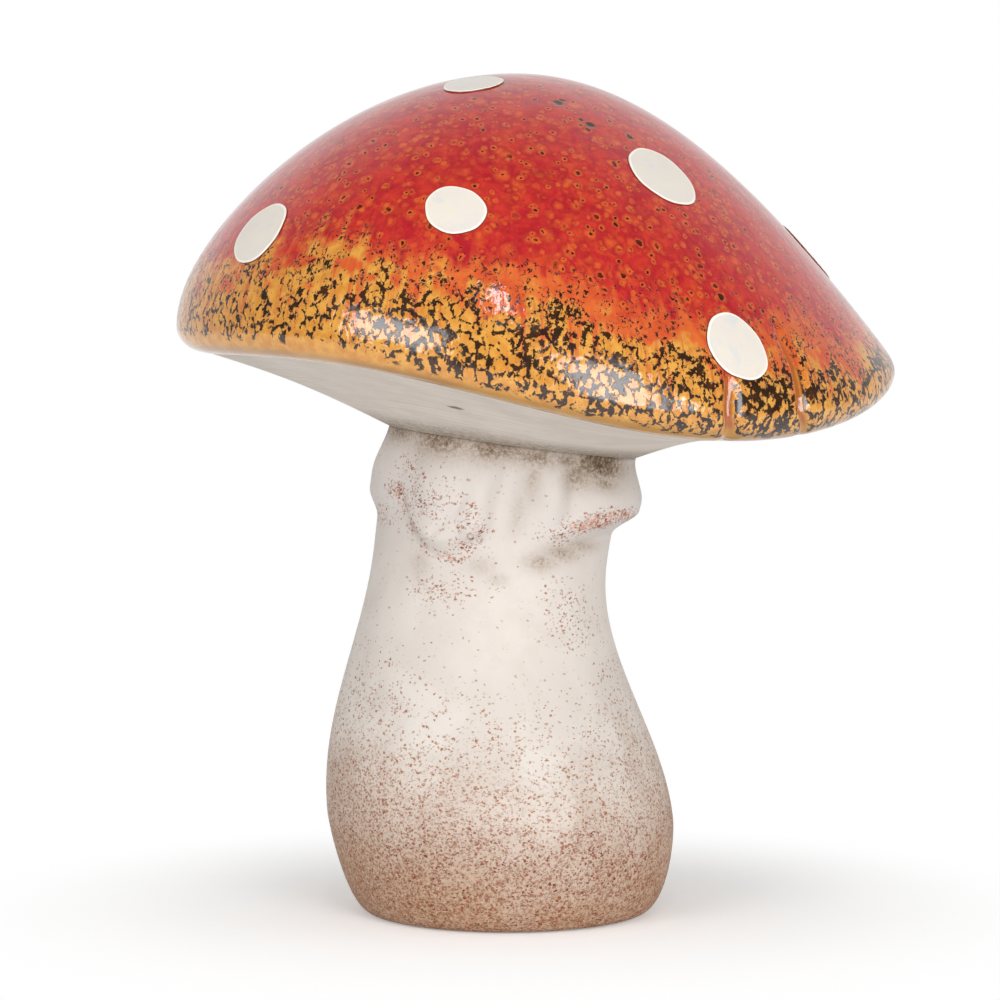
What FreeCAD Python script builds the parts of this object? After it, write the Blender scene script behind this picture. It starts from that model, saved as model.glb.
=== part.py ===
import FreeCAD, Part
import os
from math import cos, pi, radians, sin, sqrt, tan
from FreeCAD import Placement, Rotation, Vector

# Ceramic mushroom ornament in millimetres, +Z up, seen from the front along +Y.
# The origin is the middle of the flat foot. Three hollow slip-cast pieces stand on each other,
# stem, cap underside and cap dome, and raised cream spots are laid on the dome's glaze.

SIZES = (
    ("crown_height", 239.0, "top of the cap above the foot"),
    ("crown_offset", 2.1, "crown to the right of the foot's middle"),
    ("cap_radius", 101.0, "cap at its widest"),
    ("cap_offset", 7.2, "middle of the cap's rim to the right of the foot's middle"),
    ("cap_oval", 1.0, "half of what the cap is wider than deep"),
    ("rim_height", 156.4, "mean height of the rim's lower edge"),
    ("rim_tilt", 14.3, "rise of the rim's high side over its mean height"),
    ("rim_tilt_direction", 131.0, "direction of the rim's high side, in degrees from +X"),
    ("rim_sway", 1.6, "height of the two waves round the rim"),
    ("rim_sway_direction", 61.0, "direction of a crest of the two waves, in degrees"),
    ("rim_wave", 3.6, "height of the three waves round the rim, a crest at +X"),
    ("roll_width", 7.8, "how far the rim rolls in under the cap"),
    ("roll_height", 6.7, "height of the rolled rim"),
    ("full_direction", -131.0, "direction of the dome's fullest side, in degrees"),
    ("crown_flat", 6.0, "radius of the crown's flat middle"),
    ("cap_wall", 5.0, "wall of the dome at the crown"),
    ("ledge_width", 3.0, "ledge inside the rim that sits on the underside plate"),
    ("plate_wall", 4.5, "wall of the underside plate"),
    ("plate_hollow", 1.5, "how far the plate's cone draws up between neck and rim"),
    ("seat_margin", 1.5, "flat of the plate's seat outside the stem's neck"),
    ("seam_gap", 0.2, "luted seam between two castings"),
    ("crease_width", 2.4, "width of a crease in the glazed rim at its foot"),
    ("crease_depth", 1.0, "depth of a crease in the glazed rim at its foot"),
    ("spot_radius", 9.4, "mean radius of a cream spot"),
    ("spot_raise", 0.5, "how far a cream spot stands off the glaze"),
    ("neck_height", 134.7, "middle of the stem's neck above the foot"),
    ("neck_offset", 0.4, "middle of the neck to the right of the foot's middle"),
    ("neck_tilt", 7.7, "fall of the neck's plane to the right, in degrees"),
    ("neck_radius", 34.2, "stem at its neck"),
    ("waist_radius", 33.2, "stem at its waist, under the collar"),
    ("waist_height", 102.0, "waist above the foot"),
    ("belly_radius", 49.7, "stem at its thickest"),
    ("belly_height", 27.0, "belly above the foot"),
    ("foot_radius", 39.0, "flat foot's outer radius"),
    ("foot_offset", -1.0, "middle of the foot's outline to the right of the origin"),
    ("stem_bow", 6.6, "how far the stem bows out to the left"),
    ("collar_depth", 6.4, "how far the draped collar's deepest lobe stands off the stem"),
    ("stem_wall", 6.0, "wall of the stem"),
    ("stem_floor", 7.0, "floor of the stem's hollow above the foot"),
    ("spigot_radius", 27.0, "spigot on the neck that enters the plate"),
    ("spigot_gap", 0.5, "clearance round the spigot"),
    ("spigot_height", 9.0, "spigot above the neck"),
    ("spigot_wall", 5.0, "wall of the spigot"),
    ("vent_radius", 6.0, "pouring hole through the stem's floor"),
    ("vent_offset", 18.0, "pouring hole behind the foot's middle"),
    ("overrun", 1.0, "how far a cut runs past what it cuts"),
)

# The dome's height falls from the crown as a blend of a round and a bell profile.
# full_share is the round part's share, and lean_share what it gains on the fullest side.
full_share = 0.43
lean_share = 0.37
bell_power = 2.5
# The bow of the stem is greatest at this share of its height.
bow_power = 1.42
foot_power = 1.4

# Draped collar: each lobe's direction and half width in degrees, its depth as a share of
# collar_depth, then as shares of the stem's height: its hem at the middle, what the hem gains
# at the lobe's sides, what it gains from the lobe's right side to its middle, and its softness.
LOBE_SHARES = (
    (168.0, 62.0, 0.52, 0.805, 0.020, 0.010, 0.060),
    (-117.0, 28.0, 0.62, 0.752, 0.110, -0.020, 0.045),
    (-99.0, 9.0, 0.30, 0.780, 0.020, 0.000, 0.040),
    (-67.0, 10.0, 0.42, 0.790, 0.000, 0.000, 0.110),
    (-14.0, 62.0, 1.00, 0.825, -0.075, 0.015, 0.060),
    (62.0, 34.0, 0.66, 0.780, 0.050, 0.015, 0.060),
    (108.0, 30.0, 0.50, 0.820, 0.030, -0.020, 0.060),
)
# The collar thins out from this share of the stem's height up to the neck.
collar_top_share = 0.90
collar_neck_share = 0.22

# Cream spots: how far down the dome as a share of the way from crown to rim, direction in
# degrees, radius down the slope and along the rim as shares of spot_radius, turn in degrees.
SPOT_SHARES = (
    (0.190, -119.0, 0.95, 0.90, 0.0),
    (0.614, -104.8, 0.85, 0.90, 20.0),
    (0.422, -54.8, 1.22, 1.04, -16.0),
    (0.802, -56.7, 1.00, 1.00, 0.0),
    (0.719, -144.7, 1.02, 1.06, 0.0),
    (0.560, 2.0, 1.10, 1.00, 10.0),
    (0.800, 32.0, 0.95, 1.05, 0.0),
    (0.360, 62.0, 1.00, 0.95, 15.0),
    (0.680, 84.0, 1.10, 1.00, 0.0),
    (0.500, 136.0, 0.95, 1.00, -12.0),
    (0.810, 158.0, 1.05, 0.95, 0.0),
)
# A spot's outline wavers by this share, its top is drawn in, and its middle is flat.
spot_waver_share = 0.025
spot_top_share = 0.94
spot_flat_share = 0.35

# Creases in the rim, from under the roll up the dome: how far down, as above, and direction.
CREASE_SHARES = (
    ((1.90, -59.0), (1.62, -59.4), (1.20, -60.0), (0.98, -60.3), (0.90, -59.8)),
    ((1.90, -43.4), (1.58, -43.8), (1.20, -45.2), (0.94, -46.2), (0.84, -45.7), (0.76, -46.5)),
)
# A crease thins to this share of its depth where it runs out.
crease_end_share = 0.15
# Small step along the dome from which its slopes are taken.
nudge_share = 0.04

RING_POINTS = 12
STEM_SIDES = 60
PLATE_SIDES = 42
HOLLOW_SIDES = 18
SPOT_SIDES = 15
DOME_STEPS = 12
ROLL_STEPS = 3
CONE_STEPS = 3
HOLLOW_STEPS = 5
# Rings of the stem as shares of its height: where the foot rounds, then up the plain body
# to where the collar's lowest hem hangs, then closer up to the neck.
FOOT_SHARES = (0.0, 0.012, 0.035)
foot_top_share = 0.07
collar_low_share = 0.71
BODY_STEPS = 7
COLLAR_STEPS = 10


def fill_sheet(doc):
    """Writes every driving size into the document's sheet, one aliased cell each."""
    sheet = doc.addObject("Spreadsheet::Sheet", "Sizes")
    for row, (name, value, meaning) in enumerate(SIZES, 1):
        sheet.set(f"A{row}", name)
        sheet.set(f"B{row}", str(value))
        sheet.set(f"C{row}", meaning)
        sheet.setAlias(f"B{row}", name)
    doc.recompute()
    return {name: float(sheet.get(name)) for name, _, _ in SIZES}


def soft_step(share):
    """Rises smoothly from 0 to 1 as share goes from 0 to 1."""
    share = min(max(share, 0), 1)
    return share * share * (3 - 2 * share)


def rim_lower_edge(size, around):
    """Height of the rim's lower edge in one direction."""
    tilt = size["rim_tilt"] * cos(around - radians(size["rim_tilt_direction"]))
    sway = size["rim_sway"] * cos(2 * (around - radians(size["rim_sway_direction"])))
    wave = size["rim_wave"] * cos(3 * around)
    return size["rim_height"] + tilt + sway + wave


def cap_reach(size, around):
    """Radius of the cap at its widest in one direction."""
    return size["cap_radius"] + size["cap_oval"] * cos(2 * around)


def dome_height(size, around, down, top, bottom):
    """Height on the dome, down running from 0 at the crown to 1 at its widest."""
    fall = max(cos(down * pi / 2), 0)
    full = full_share + lean_share * cos(around - radians(size["full_direction"]))
    return bottom + (top - bottom) * (full * fall + (1 - full) * fall**bell_power)


def cap_point(size, down, around):
    """Point on the glazed dome: down 0 at the crown, 1 at the widest, 2 under the rolled rim."""
    reach = cap_reach(size, around)
    widest = rim_lower_edge(size, around) + size["roll_height"]
    if down <= 1:
        out = sin(down * pi / 2)
        radius = reach * out
        height = dome_height(size, around, down, size["crown_height"], widest)
    else:
        out = 1
        roll = (down - 1) * pi / 2
        radius = reach - size["roll_width"] * (1 - cos(roll))
        height = widest - size["roll_height"] * sin(roll)
    middle = size["crown_offset"] + (size["cap_offset"] - size["crown_offset"]) * out
    return Vector(middle + radius * cos(around), radius * sin(around), height)


def rim_ring_point(size, inset, rise, around):
    """Point inside the rim: inset from the roll's end, rise above the rim's lower edge."""
    radius = cap_reach(size, around) - size["roll_width"] - inset
    height = rim_lower_edge(size, around) + rise
    return Vector(size["cap_offset"] + radius * cos(around), radius * sin(around), height)


def hollow_point(size, down, around):
    """Point on the dome's inner face, from over the ledge up to the crown."""
    inset = size["roll_width"] + size["ledge_width"]
    ledge = rim_lower_edge(size, around) + size["plate_wall"] + size["seam_gap"]
    out = sin(down * pi / 2)
    radius = (cap_reach(size, around) - inset) * out
    height = dome_height(size, around, down, size["crown_height"] - size["cap_wall"], ledge)
    middle = size["crown_offset"] + (size["cap_offset"] - size["crown_offset"]) * out
    return Vector(middle + radius * cos(around), radius * sin(around), height)


def neck_plane(size, x, lift):
    """Height of the neck's tilted plane at x, lifted by lift."""
    return size["neck_height"] + lift - tan(radians(size["neck_tilt"])) * (x - size["neck_offset"])


def neck_circle_point(size, radius, lift, around):
    """Point of a circle round the neck's middle, in its tilted plane."""
    x = size["neck_offset"] + radius * cos(around)
    return Vector(x, radius * sin(around), neck_plane(size, x, lift))


def stem_radius(size, height):
    """Radius of the plain stem at a height: rounded foot, belly, waist and neck."""
    belly = size["belly_radius"]
    waist = size["waist_radius"]
    if height < size["belly_height"]:
        short = (1 - height / size["belly_height"]) ** foot_power
        return belly - (belly - size["foot_radius"]) * (1 - sqrt(max(1 - short, 0)))
    if height < size["waist_height"]:
        rise = (height - size["belly_height"]) / (size["waist_height"] - size["belly_height"])
        return waist + (belly - waist) * cos(rise * pi / 2) ** 2
    rise = (height - size["waist_height"]) / (size["neck_height"] - size["waist_height"])
    return waist + (size["neck_radius"] - waist) * soft_step(rise)


def collar_relief(size, up, around):
    """How far the draped collar stands off the stem, up running from foot to neck."""
    relief = 0
    for direction, half, depth, hem, sides, slant, soft in LOBE_SHARES:
        turn = (around - radians(direction) + pi) % (2 * pi) - pi
        across = turn / radians(half)
        if abs(across) < 1:
            lower = hem + sides * across**2 + slant * across
            relief += depth * cos(across * pi / 2) ** 1.3 * soft_step((up - lower) / soft)
    thin = soft_step((up - collar_top_share) / (1 - collar_top_share))
    return size["collar_depth"] * relief * (1 - (1 - collar_neck_share) * thin)


def stem_point(size, up, around, inward, collar):
    """Point on a level ring of the stem: up 0 at the foot and 1 in the neck's tilted plane."""
    height = up * size["neck_height"]
    radius = stem_radius(size, height) - inward
    if collar:
        radius += collar_relief(size, up, around)
    bow = size["stem_bow"] * sin(pi * up**bow_power)
    middle = size["neck_offset"] * up + size["foot_offset"] * (1 - up) - bow
    x = middle + radius * cos(around)
    return Vector(x, radius * sin(around), up * neck_plane(size, x, 0))


def turns(count):
    """Equal turns once round."""
    return [2 * pi * step / count for step in range(count)]


def ring(count, place):
    """Closed smooth ring through place(around) at equal turns."""
    curve = Part.BSplineCurve()
    knots = [step / count for step in range(count + 1)]
    curve.interpolate(Points=[place(around) for around in turns(count)], PeriodicFlag=True, Parameters=knots)
    return Part.Wire([curve.toShape()])


def flat_faced(rings):
    """Solid with flat facets between rings of as many points, its first and last ring flat."""
    faces = []
    for lower, upper in zip(rings, rings[1:]):
        for left in range(len(lower)):
            right = left + 1 - len(lower)
            for corners in ((lower[left], lower[right], upper[right]), (lower[left], upper[right], upper[left])):
                faces.append(Part.Face(Part.makePolygon(corners + corners[:1])))
    for end in (rings[0], rings[-1]):
        faces.append(Part.Face(Part.makePolygon(end + end[:1])))
    shell = Part.Shell(faces)
    shell.sewShape()
    solid = Part.Solid(shell)
    if solid.Volume < 0:
        solid.reverse()
    return solid


def level(place, height):
    """The same place brought to one height."""
    return lambda around: Vector(place(around).x, place(around).y, height)


def freeform(doc, name, shape):
    """Document object that holds a form skinned through rings."""
    piece = doc.addObject("Part::Feature", name)
    piece.Shape = shape
    return piece


def neck_cylinder(doc, name, radius, start, length):
    """Round boss or cutter square to the neck's tilted plane, its sizes bound to the sheet."""
    piece = doc.addObject("Part::Cylinder", name)
    piece.Placement = Placement(Vector(), Rotation(Vector(0, 1, 0), 1))
    piece.setExpression("Radius", radius)
    piece.setExpression("Height", length)
    piece.setExpression("Placement.Rotation.Angle", "Sizes.neck_tilt * 1 deg")
    piece.setExpression("Placement.Base.x", f"Sizes.neck_offset + sin(Sizes.neck_tilt) * ({start})")
    piece.setExpression("Placement.Base.z", f"Sizes.neck_height + cos(Sizes.neck_tilt) * ({start})")
    return piece


def cut(doc, name, base, tool):
    """Base with tool taken out of it."""
    piece = doc.addObject("Part::Cut", name)
    piece.Base = base
    piece.Tool = tool
    return piece


def join(doc, name, pieces):
    """Pieces fused into one."""
    piece = doc.addObject("Part::MultiFuse", name)
    piece.Shapes = pieces
    return piece


def cap_dome(doc, size):
    """Glazed dome with a rolled, creased rim, hollow, with a ledge in the rim for the plate."""
    crown = size["crown_flat"] / size["cap_radius"]
    top_height = cap_point(size, crown, 0).z
    rise = size["plate_wall"] + size["seam_gap"]
    deep = 2 * size["ledge_width"]

    def outer(down):
        return ring(RING_POINTS, lambda around: cap_point(size, down, around))

    def inside(inset, height):
        return ring(RING_POINTS, lambda around: rim_ring_point(size, inset, height, around))

    rings = [ring(RING_POINTS, level(lambda around: cap_point(size, crown, around), top_height))]
    for step in range(1, DOME_STEPS + 1):
        rings.append(outer(crown + (1 - crown) * step / DOME_STEPS))
    for step in range(1, ROLL_STEPS + 1):
        rings.append(outer(1 + step / ROLL_STEPS))
    rings.append(inside(0, rise))
    rings.append(inside(deep, rise))
    rings.append(ring(RING_POINTS, level(lambda around: cap_point(size, crown, around), size["rim_height"])))
    blank = freeform(doc, "dome_blank", Part.makeLoft(rings, True, True))

    bottom = size["rim_height"] - size["rim_tilt"] - size["rim_sway"] - size["rim_wave"]
    roof = crown + size["cap_wall"] / size["cap_radius"]
    roof_height = hollow_point(size, roof, 0).z
    wall = [[hollow_point(size, 1, around) for around in turns(HOLLOW_SIDES)]]
    for step in range(1, HOLLOW_STEPS + 1):
        down = 1 - (1 - roof) * step / HOLLOW_STEPS
        wall.append([hollow_point(size, down, around) for around in turns(HOLLOW_SIDES)])
    mouth = [Vector(point.x, point.y, bottom) for point in wall[0]]
    top = [Vector(point.x, point.y, roof_height) for point in wall[-1]]
    hollow = freeform(doc, "dome_hollow", flat_faced([mouth] + wall[:-1] + [top]))

    creases = [crease(doc, size, f"rim_crease_{number}", path) for number, path in enumerate(CREASE_SHARES, 1)]
    return cut(doc, "cap_dome", blank, join(doc, "dome_cuts", [hollow] + creases))


def surface_frame(size, down, around):
    """Place, slope and outward directions on the dome."""
    nudge = nudge_share / DOME_STEPS
    here = cap_point(size, down, around)
    slope = (cap_point(size, down + nudge, around) - cap_point(size, down - nudge, around)).normalize()
    sideways = cap_point(size, down, around + nudge) - cap_point(size, down, around - nudge)
    return here, slope, slope.cross(sideways).normalize()


def crease(doc, size, name, path):
    """Slender tapering tool along the dome that leaves a crease in the rim."""
    sections = []
    for step, (down, direction) in enumerate(path):
        here, slope, outward = surface_frame(size, down, radians(direction))
        share = 1 - (1 - crease_end_share) * step / (len(path) - 1)
        radius = size["crease_width"] / 2
        middle = here + outward * (radius - size["crease_depth"] * share)
        sections.append(Part.Wire([Part.Circle(middle, slope, radius).toShape()]))
    return freeform(doc, name, Part.makeLoft(sections, True))


def cap_underside(doc, size):
    """Plate that closes the cap from below: flat seat on the neck, then a cone out to the rim."""
    gap = size["seam_gap"]
    seat = size["neck_radius"] + size["seat_margin"]
    wall = size["plate_wall"]

    def seat_ring(lift):
        return [neck_circle_point(size, seat, lift, around) for around in turns(PLATE_SIDES)]

    def cone(share, inset, lift):
        def place(around):
            inner = neck_circle_point(size, seat, lift, around)
            outer = rim_ring_point(size, inset, lift, around)
            return inner + (outer - inner) * share + Vector(0, 0, size["plate_hollow"] * sin(pi * share))
        return [place(around) for around in turns(PLATE_SIDES)]

    shares = [step / CONE_STEPS for step in range(1, CONE_STEPS + 1)]
    band = gap + size["ledge_width"]
    under = [seat_ring(0)] + [cone(share, gap, 0) for share in shares]
    over = [cone(1, gap, wall)] + [cone(share, band, wall) for share in reversed(shares)] + [seat_ring(wall)]
    blank = freeform(doc, "plate_blank", flat_faced(under + over))
    hole = neck_cylinder(
        doc, "spigot_hole", "Sizes.spigot_radius + Sizes.spigot_gap", "-Sizes.overrun",
        "Sizes.plate_wall + 2 * Sizes.overrun",
    )
    return cut(doc, "cap_underside", blank, hole)


def stem(doc, size):
    """Stem with its draped collar and spigot, hollow, with a flat foot and a pouring hole."""
    def outer(up):
        return [stem_point(size, up, around, 0, True) for around in turns(STEM_SIDES)]

    def inner(up):
        wall = size["stem_wall"]
        return [stem_point(size, up, around, wall, False) for around in turns(HOLLOW_SIDES)]

    shares = list(FOOT_SHARES)
    for step in range(BODY_STEPS):
        shares.append(foot_top_share + (collar_low_share - foot_top_share) * step / BODY_STEPS)
    for step in range(COLLAR_STEPS + 1):
        shares.append(collar_low_share + (1 - collar_low_share) * step / COLLAR_STEPS)
    blank = freeform(doc, "stem_blank", flat_faced([outer(up) for up in shares]))
    spigot = neck_cylinder(
        doc, "spigot", "Sizes.spigot_radius", "-Sizes.stem_wall", "Sizes.stem_wall + Sizes.spigot_height",
    )
    floor = size["stem_floor"] / size["neck_height"]
    roof = 1 - size["stem_wall"] / size["neck_height"]
    hollow_shares = [floor + (roof - floor) * step / HOLLOW_STEPS for step in range(HOLLOW_STEPS + 1)]
    hollow = freeform(doc, "stem_hollow", flat_faced([inner(up) for up in hollow_shares]))
    bore = neck_cylinder(
        doc, "spigot_bore", "Sizes.spigot_radius - Sizes.spigot_wall", "-2 * Sizes.stem_wall",
        "2 * Sizes.stem_wall + Sizes.spigot_height + Sizes.overrun",
    )
    vent = doc.addObject("Part::Cylinder", "pouring_hole")
    vent.setExpression("Radius", "Sizes.vent_radius")
    vent.setExpression("Height", "Sizes.stem_floor + 2 * Sizes.overrun")
    vent.setExpression("Placement.Base.y", "Sizes.vent_offset")
    vent.setExpression("Placement.Base.z", "-Sizes.overrun")
    cast = join(doc, "stem_cast", [blank, spigot])
    return cut(doc, "stem", cast, join(doc, "stem_cuts", [hollow, bore, vent]))


def cream_spot(doc, size, number, down, direction, slope_share, side_share, turn):
    """Thin raised patch of cream enamel that follows the dome."""
    around = radians(direction)
    here, _, outward = surface_frame(size, down, around)
    down_scale = (cap_point(size, down + nudge_share, around) - here).Length / nudge_share

    def patch(share, lift):
        def place(angle):
            waver = 1 + spot_waver_share * cos(3 * angle + number)
            along = size["spot_radius"] * slope_share * share * waver * cos(angle)
            beside = size["spot_radius"] * side_share * share * waver * sin(angle)
            tilt = radians(turn)
            lower = down + (along * cos(tilt) - beside * sin(tilt)) / down_scale
            reach = size["cap_radius"] * sin(min(lower, 1) * pi / 2)
            sideways = around + (along * sin(tilt) + beside * cos(tilt)) / reach
            there, _, off_glaze = surface_frame(size, lower, sideways)
            return there + off_glaze * lift
        return place

    def outline(share, lift):
        place = patch(share, lift)
        return [place(angle) for angle in turns(SPOT_SIDES)]

    def flattened(points):
        middle = Vector()
        for point in points:
            middle += point / len(points)
        return [point - outward * (point - middle).dot(outward) for point in points]

    seam = size["seam_gap"] / 2
    rings = [
        flattened(outline(spot_flat_share, seam)),
        outline(1, seam),
        outline(spot_top_share, size["spot_raise"]),
        flattened(outline(spot_flat_share, size["spot_raise"])),
    ]
    return freeform(doc, f"cream_spot_{number}", flat_faced(rings))


def check(doc, parts):
    """Stops if any object failed, or a sub-part is empty or faulty."""
    for thing in doc.Objects:
        if "Invalid" in thing.State or "Error" in thing.State:
            raise RuntimeError(f"{thing.Label} failed: {thing.State}")
    for piece in parts:
        if piece.Shape.isNull() or not piece.Shape.isValid() or len(piece.Shape.Solids) != 1:
            raise RuntimeError(f"{piece.Label} is not one sound solid")


def main():
    doc = FreeCAD.newDocument("mushroom_ornament")
    size = fill_sheet(doc)
    parts = [cap_dome(doc, size), cap_underside(doc, size), stem(doc, size)]
    for number, shares in enumerate(SPOT_SHARES, 1):
        parts.append(cream_spot(doc, size, number, *shares))
    doc.recompute()
    check(doc, parts)
    os.makedirs("parts", exist_ok=True)
    for piece in parts:
        piece.Shape.exportStep(f"parts/{piece.Label}.step")
        print(piece.Label, "volume", round(piece.Shape.Volume), "faces", len(piece.Shape.Faces))


main()
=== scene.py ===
from math import cos, degrees, exp, pi, radians, sin, sqrt, tan

import bmesh
import bpy
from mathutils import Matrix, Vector


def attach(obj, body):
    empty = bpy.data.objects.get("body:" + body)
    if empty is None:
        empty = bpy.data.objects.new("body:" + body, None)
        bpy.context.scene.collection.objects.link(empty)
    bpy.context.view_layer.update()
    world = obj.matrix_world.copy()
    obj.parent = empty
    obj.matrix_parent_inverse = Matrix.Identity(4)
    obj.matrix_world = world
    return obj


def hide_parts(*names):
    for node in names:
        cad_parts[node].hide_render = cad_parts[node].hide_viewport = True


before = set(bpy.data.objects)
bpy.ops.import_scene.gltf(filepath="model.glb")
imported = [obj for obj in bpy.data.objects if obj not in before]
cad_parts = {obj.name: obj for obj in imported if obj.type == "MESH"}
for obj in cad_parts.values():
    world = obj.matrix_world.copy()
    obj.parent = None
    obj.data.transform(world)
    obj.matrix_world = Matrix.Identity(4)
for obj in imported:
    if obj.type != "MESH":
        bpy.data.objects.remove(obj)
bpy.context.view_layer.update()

# Sizes of the piece
# Lengths below are millimetres of the real piece; meshes are made in metres.
MM = 0.001

CROWN_HEIGHT, CROWN_OFFSET = 239.0, 2.1
CAP_RADIUS, CAP_OFFSET, CAP_OVAL = 101.0, 7.2, 1.0
RIM_HEIGHT, RIM_TILT, RIM_TILT_DIRECTION = 156.4, 14.3, radians(131)
RIM_SWAY, RIM_SWAY_DIRECTION, RIM_WAVE = 1.6, radians(61), 3.6
ROLL_WIDTH, ROLL_HEIGHT = 7.8, 6.7
FULL_SHARE, LEAN_SHARE, FULL_DIRECTION, BELL_POWER = 0.43, 0.37, radians(-131), 2.5
CAP_WALL, LEDGE_WIDTH, PLATE_WALL, PLATE_HOLLOW = 5.0, 3.0, 4.5, 1.5
SEAT_MARGIN, SEAM_GAP, SPOT_RADIUS = 1.5, 0.2, 9.4
NECK_HEIGHT, NECK_OFFSET, NECK_TILT, NECK_RADIUS = 134.7, 0.4, radians(7.7), 34.2
WAIST_RADIUS, WAIST_HEIGHT, BELLY_RADIUS, BELLY_HEIGHT = 33.2, 102.0, 49.7, 27.0
FOOT_RADIUS, FOOT_OFFSET, FOOT_POWER = 39.0, -1.0, 1.4
STEM_BOW, BOW_POWER, COLLAR_DEPTH, STEM_FLOOR = 6.6, 1.42, 6.4, 7.0
SPIGOT_RADIUS, SPIGOT_GAP, SPIGOT_HEIGHT = 27.0, 0.5, 9.0
VENT_RADIUS, VENT_OFFSET, VENT_LIP = 6.0, 18.0, 0.25
VENT_LIP_FOOT, VENT_LIP_TOP = 0.15, 0.6
PLATE_EDGE_SHARE, PLATE_EDGE_RISE = 0.995, 0.35

# Lobes of the collar: direction, half width, depth, hem, rise at the sides, slant, softness.
LOBES = (
    (168, 62, 0.52, 0.805, 0.020, 0.010, 0.060),
    (-117, 28, 0.62, 0.752, 0.110, -0.020, 0.045),
    (-99, 9, 0.30, 0.780, 0.020, 0.000, 0.040),
    (-67, 10, 0.42, 0.790, 0.000, 0.000, 0.110),
    (-14, 62, 1.00, 0.825, -0.075, 0.015, 0.060),
    (62, 34, 0.66, 0.780, 0.050, 0.015, 0.060),
    (108, 30, 0.50, 0.820, 0.030, -0.020, 0.060),
)
COLLAR_TOP, COLLAR_NECK, LOBE_POWER = 0.90, 0.22, 1.3

# Finer folds pressed into the collar: direction and height share at both ends, width, depth.
PLEATS = (
    (-79, 0.965, -80, 0.800, 3.2, 0.90),
    (-60, 0.985, -58, 0.905, 2.2, 0.80),
    (-104, 0.890, -117, 0.800, 1.8, 0.60),
    (-93, 0.900, -92, 0.790, 1.6, 0.35),
    (-136, 0.960, -132, 0.880, 3.0, 0.40),
    (-48, 0.880, -62, 0.820, 2.2, -0.40),
    (20, 0.960, 14, 0.860, 2.6, 0.60),
    (85, 0.970, 84, 0.810, 3.0, 0.80),
    (130, 0.960, 136, 0.840, 2.6, 0.60),
)
# Heights between which pleats lie, how far they run on past both ends, and their fade there.
PLEATS_FROM, PLEATS_TO, PLEAT_OVERRUN, PLEAT_FADE = 0.7, 0.999, 0.3, 0.5

# Enamel spots: how far down the dome, direction, size down the slope and across, turn.
SPOTS = (
    (0.190, -119.0, 0.95, 0.90, 0.0),
    (0.614, -104.8, 0.85, 0.90, 20.0),
    (0.422, -54.8, 1.22, 1.04, -16.0),
    (0.802, -56.7, 1.00, 1.00, 0.0),
    (0.719, -144.7, 1.02, 1.06, 0.0),
    (0.560, 2.0, 1.10, 1.00, 10.0),
    (0.800, 32.0, 0.95, 1.05, 0.0),
    (0.360, 62.0, 1.00, 0.95, 15.0),
    (0.680, 84.0, 1.10, 1.00, 0.0),
    (0.500, 136.0, 0.95, 1.00, -12.0),
    (0.810, 158.0, 1.05, 0.95, 0.0),
)
SPOT_WAVER, SPOT_RIPPLE = 0.025, 0.008

# Folds in the rim, as places along each from under the roll upwards: down, direction.
FOLDS = (
    ((2.00, -59.0), (1.62, -59.4), (1.20, -60.0), (0.98, -60.3), (0.82, -59.4)),
    ((2.00, -43.4), (1.58, -43.8), (1.20, -45.2), (0.94, -46.2), (0.84, -45.7), (0.70, -46.7)),
)
# Where the folds lie: middle, half spread, highest place, and how far their top fades in.
FOLD_MIDDLE, FOLD_SPREAD, FOLD_HIGHEST, FOLD_FADE = radians(-52), radians(24), 0.7, 0.14
# Depth of a fold, widths of its steep left and gentle right side, and of its painted line.
FOLD_DEPTH, FOLD_STEEP, FOLD_GENTLE, FOLD_LINE = 2.20, 1.0, 2.7, 1.9
# Under the roll the folds grow shallower: from where, over how far, and by what share.
EASE_FROM, EASE_OVER, EASE_SHARE = 1.35, 0.45, 0.75

# Shape formulas


def soft_step(share):
    """Rises smoothly from 0 to 1 as share goes from 0 to 1."""
    share = min(max(share, 0), 1)
    return share * share * (3 - 2 * share)


def turn_between(around, direction):
    """Signed turn from direction to around, within half a turn."""
    return (around - direction + pi) % (2 * pi) - pi


def rim_lower_edge(around):
    """Height of the rim's lower edge in one direction."""
    tilt = RIM_TILT * cos(around - RIM_TILT_DIRECTION)
    sway = RIM_SWAY * cos(2 * (around - RIM_SWAY_DIRECTION))
    return RIM_HEIGHT + tilt + sway + RIM_WAVE * cos(3 * around)


def cap_reach(around):
    """Radius of the cap at its widest in one direction."""
    return CAP_RADIUS + CAP_OVAL * cos(2 * around)


def dome_height(around, down, top, bottom):
    """Height on the dome, down running from 0 at the crown to 1 at its widest."""
    fall = max(cos(down * pi / 2), 0)
    full = FULL_SHARE + LEAN_SHARE * cos(around - FULL_DIRECTION)
    return bottom + (top - bottom) * (full * fall + (1 - full) * fall**BELL_POWER)


def cap_point(down, around):
    """Point on the glazed dome: down 0 at the crown, 1 at the widest, 2 under the roll."""
    reach = cap_reach(around)
    widest = rim_lower_edge(around) + ROLL_HEIGHT
    if down <= 1:
        out = sin(down * pi / 2)
        radius = reach * out
        height = dome_height(around, down, CROWN_HEIGHT, widest)
    else:
        out = 1
        roll = (down - 1) * pi / 2
        radius = reach - ROLL_WIDTH * (1 - cos(roll))
        height = widest - ROLL_HEIGHT * sin(roll)
    middle = CROWN_OFFSET + (CAP_OFFSET - CROWN_OFFSET) * out
    return Vector((middle + radius * cos(around), radius * sin(around), height))


def cap_outward(down, around):
    """Outward direction on the dome."""
    nudge = 0.002
    slope = cap_point(down + nudge, around) - cap_point(down - nudge, around)
    sideways = cap_point(down, around + nudge) - cap_point(down, around - nudge)
    return slope.cross(sideways).normalized()


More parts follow.
